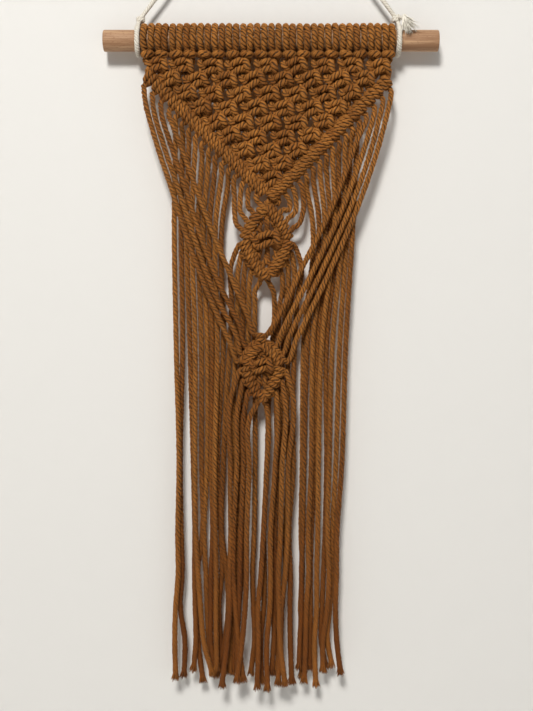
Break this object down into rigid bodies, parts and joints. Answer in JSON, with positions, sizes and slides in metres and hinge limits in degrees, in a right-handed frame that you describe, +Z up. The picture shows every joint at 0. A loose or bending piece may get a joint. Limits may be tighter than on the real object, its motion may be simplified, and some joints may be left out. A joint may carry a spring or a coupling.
{
  "type": "macrame wall hanging on wooden dowel",
  "caption": "Knotted cord wall hanging: a V-shaped net of square knots, two small diamonds, crossing cords and a long straight fringe, tied on a wooden dowel.",
  "frame": {"origin": "the point on the wall's nail that the hanger cord's bend rests on, above the dowel's middle", "axes": "+X along the dowel to the right as seen from the front, -Y to the front, +Z up"},
  "size_m": [0.254, 0.0247, 0.6336],
  "materials": {
    "dowel": "bare beech, smooth and matt",
    "heading": "brown three-ply twisted cotton, matt",
    "knotted_panel": "brown three-ply twisted cotton, matt",
    "border_left": "brown three-ply twisted cotton, matt",
    "border_right": "brown three-ply twisted cotton, matt",
    "crossing_left": "brown three-ply twisted cotton, matt",
    "crossing_right": "brown three-ply twisted cotton, matt",
    "links_left": "brown three-ply twisted cotton, matt",
    "links_right": "brown three-ply twisted cotton, matt",
    "fringe_left": "brown three-ply twisted cotton, matt",
    "fringe_right": "brown three-ply twisted cotton, matt",
    "middle_fringe_left": "brown three-ply twisted cotton, matt",
    "middle_fringe_right": "brown three-ply twisted cotton, matt",
    "front_fringe_left": "brown three-ply twisted cotton, matt",
    "front_fringe_right": "brown three-ply twisted cotton, matt",
    "upper_diamond": "brown three-ply twisted cotton, matt",
    "lower_diamond": "brown three-ply twisted cotton, matt",
    "hanger_tie_left": "pale twisted cotton, matt",
    "hanger_tie_right": "pale twisted cotton, matt",
    "hanger_tail": "pale twisted cotton, matt",
    "hanger_cord": "pale twisted cotton, matt"
  },
  "bodies": {
    "root": {"dowel": "dowel", "heading": "heading", "knotted_panel": "knotted_panel", "border_left": "border_left", "border_right": "border_right", "crossing_left": "crossing_left", "crossing_right": "crossing_right", "links_left": "links_left", "links_right": "links_right", "fringe_left": "fringe_left", "fringe_right": "fringe_right", "middle_fringe_left": "middle_fringe_left", "middle_fringe_right": "middle_fringe_right", "front_fringe_left": "front_fringe_left", "front_fringe_right": "front_fringe_right", "upper_diamond": "upper_diamond", "lower_diamond": "lower_diamond", "hanger_tie_left": "hanger_tie_left", "hanger_tie_right": "hanger_tie_right", "hanger_tail": "hanger_tail", "hanger_cord": "hanger_cord"}
  },
  "joints": []
}
